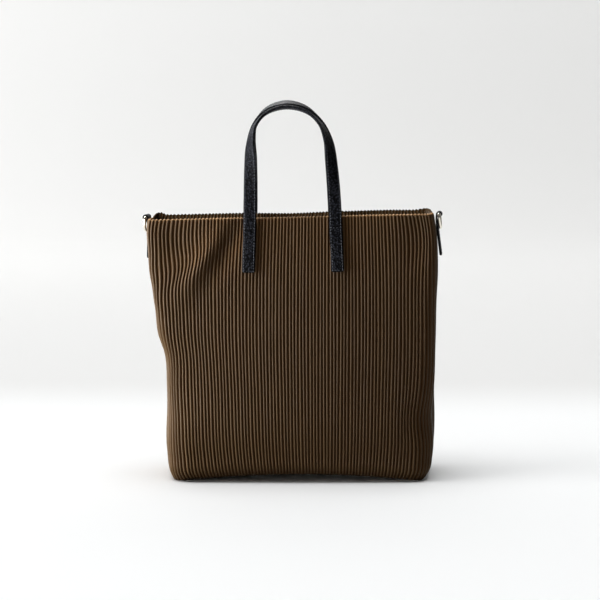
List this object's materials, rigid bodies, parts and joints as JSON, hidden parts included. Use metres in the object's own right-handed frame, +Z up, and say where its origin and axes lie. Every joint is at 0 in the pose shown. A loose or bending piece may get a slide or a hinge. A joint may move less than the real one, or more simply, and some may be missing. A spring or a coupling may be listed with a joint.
{
  "type": "pleated tote bag",
  "caption": "Open tote bag of vertically pleated cloth that stands on its base, with leather strap handles and a metal ring hanging from a leather tab at each side.",
  "frame": {"origin": "on the floor under the middle of the bag's bounding box", "axes": "+X to the bag's right seen from the front, +Y to its back, +Z up"},
  "size_m": [0.3465, 0.1206, 0.4346],
  "materials": {
    "pleated_cloth": "dark brown pleated cloth with a soft sheen on the ridges",
    "black_leather": "black grained leather",
    "ring_metal": "pale polished metal"
  },
  "bodies": {
    "bag": {"front_panel": "pleated_cloth", "back_panel": "pleated_cloth", "base_panel": "pleated_cloth", "handle_front": "black_leather", "handle_back": "black_leather", "side_tab_left": "black_leather", "side_tab_right": "black_leather"},
    "ring_left": {"d_ring_left": "ring_metal"},
    "ring_right": {"d_ring_right": "ring_metal"}
  },
  "joints": [
    {"name": "ring_left_swing", "type": "hinge", "parent": "bag", "child": "ring_left", "pos_m": [-0.16826, 0.00751, 0.29982], "axis": [0.1908, 0.9816, 0], "range_deg": [-2, 158]},
    {"name": "ring_right_swing", "type": "hinge", "parent": "bag", "child": "ring_right", "pos_m": [0.16892, -0.00911, 0.30445], "axis": [-0.1392, -0.9903, 0], "range_deg": [0, 160]}
  ]
}
